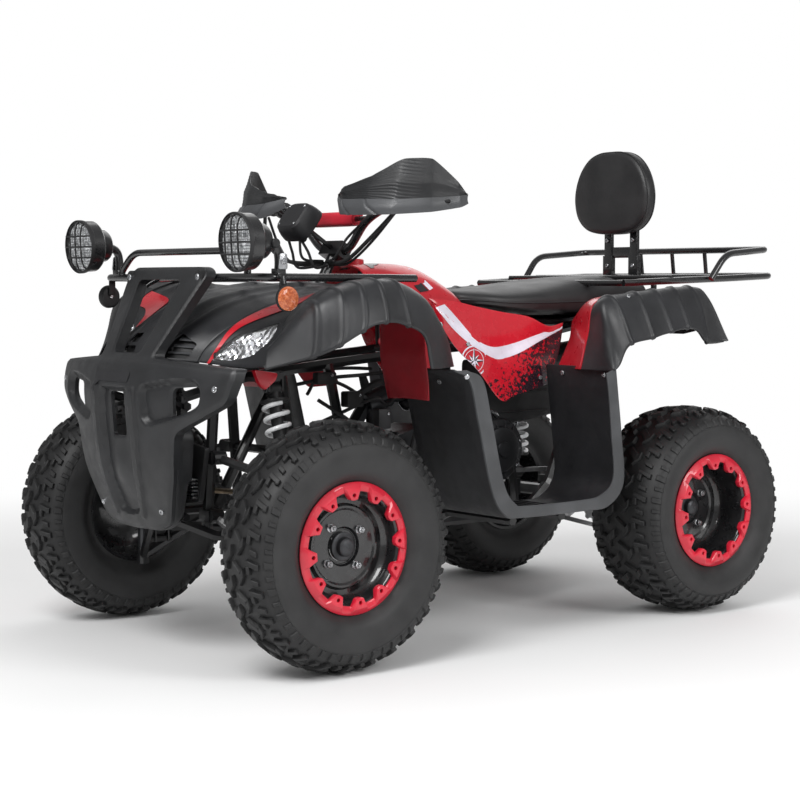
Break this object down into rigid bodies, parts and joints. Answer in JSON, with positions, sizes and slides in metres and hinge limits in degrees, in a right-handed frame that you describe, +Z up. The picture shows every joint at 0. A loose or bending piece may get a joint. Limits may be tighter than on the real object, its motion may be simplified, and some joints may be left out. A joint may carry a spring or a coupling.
{
  "type": "utility quad bike",
  "caption": "Straddle-seat utility quad bike with knobbly tyres, red panels, bull bar, front and rear racks, footwells, spot lamps and a padded backrest.",
  "frame": {"origin": "on the ground at the middle of the machine's length and width", "axes": "+Z up, the front faces -Y, the machine's left side faces +X"},
  "size_m": [1.126, 1.9704, 1.278],
  "materials": {
    "tyre": "matt black rubber",
    "rim": "satin black",
    "ring": "gloss red",
    "steel": "plain steel",
    "frame": "satin black",
    "tube": "gloss black",
    "cast": "dark cast",
    "bronze": "yellow zinc plate",
    "exhaust": "heat-proof black",
    "spring": "gloss white",
    "plastic": "grained black",
    "red": "gloss red",
    "red_pad": "soft red cover",
    "vinyl": "grained black vinyl",
    "lens": "clear lens over a bright reflector",
    "lamp": "black housing",
    "tail": "red lens"
  },
  "bodies": {
    "root": {"frame": "frame", "engine": "cast", "exhaust": "exhaust", "swingarm": "frame", "drive_chain": "steel", "shock_rear": "spring", "shock_front_left": "spring", "shock_front_right": "spring", "arm_upper_left": "frame", "arm_upper_right": "frame", "arm_lower_left": "frame", "arm_lower_right": "frame", "footwell_left": "plastic", "footwell_right": "plastic", "bumper": "plastic", "rack_front": "tube", "rack_rear": "tube", "headlight_left": "lens", "headlight_right": "lens", "front_body_left": "red", "front_body_right": "red", "tank_cover": "red", "side_panel_left": "red", "side_panel_right": "red", "nose_cover": "plastic", "flare_front_left": "plastic", "flare_front_right": "plastic", "flare_rear_left": "plastic", "flare_rear_right": "plastic", "rear_body": "red", "seat": "vinyl", "backrest_pad": "vinyl", "lamp_left": "lamp", "lamp_right": "lamp", "tail_light": "tail"},
    "steering": {"steering_stem": "frame", "handlebar": "tube", "bar_pad": "red_pad", "dash_pod": "plastic", "handguard_left": "plastic", "handguard_right": "plastic"},
    "knuckle_left": {"knuckle_left": "cast"},
    "knuckle_right": {"knuckle_right": "cast"},
    "tie_rod_left": {"tie_rod_left": "bronze"},
    "tie_rod_right": {"tie_rod_right": "bronze"},
    "wheel_front_left": {"tyre_front_left": "tyre", "rim_front_left": "rim", "ring_front_left": "ring"},
    "wheel_front_right": {"tyre_front_right": "tyre", "rim_front_right": "rim", "ring_front_right": "ring"},
    "rear_wheels": {"rear_axle": "steel", "tyre_rear_left": "tyre", "rim_rear_left": "rim", "ring_rear_left": "ring", "tyre_rear_right": "tyre", "rim_rear_right": "rim", "ring_rear_right": "ring"}
  },
  "joints": [
    {"name": "steer_bar", "type": "hinge", "parent": "root", "child": "steering", "pos_m": [0, -0.66151, 0.375], "axis": [0, 0.5033, 0.8641], "range_deg": [-30, 30]},
    {"name": "steer_left", "type": "hinge", "parent": "root", "child": "knuckle_left", "pos_m": [0.385, -0.66525, 0.292], "axis": [0, 0, 1], "range_deg": [-30, 30]},
    {"name": "steer_right", "type": "hinge", "parent": "root", "child": "knuckle_right", "pos_m": [-0.385, -0.66525, 0.292], "axis": [0, 0, 1], "range_deg": [-30, 30]},
    {"name": "tie_rod_left_end", "type": "hinge", "parent": "knuckle_left", "child": "tie_rod_left", "pos_m": [0.385, -0.74025, 0.4049], "axis": [0, 0, 1], "range_deg": [-30, 30]},
    {"name": "tie_rod_right_end", "type": "hinge", "parent": "knuckle_right", "child": "tie_rod_right", "pos_m": [-0.385, -0.74025, 0.4049], "axis": [0, 0, 1], "range_deg": [-30, 30]},
    {"name": "roll_front_left", "type": "hinge", "parent": "knuckle_left", "child": "wheel_front_left", "pos_m": [0.474, -0.66525, 0.292], "axis": [1, 0, 0], "continuous": true},
    {"name": "roll_front_right", "type": "hinge", "parent": "knuckle_right", "child": "wheel_front_right", "pos_m": [-0.474, -0.66525, 0.292], "axis": [1, 0, 0], "continuous": true},
    {"name": "roll_rear", "type": "hinge", "parent": "root", "child": "rear_wheels", "pos_m": [0, 0.58175, 0.2795], "axis": [1, 0, 0], "continuous": true}
  ],
  "couplings": [
    {"joint": "steer_left", "follows": "steer_bar", "ratio": 1},
    {"joint": "steer_right", "follows": "steer_bar", "ratio": 1},
    {"joint": "tie_rod_left_end", "follows": "steer_bar", "ratio": -1},
    {"joint": "tie_rod_right_end", "follows": "steer_bar", "ratio": -1}
  ]
}
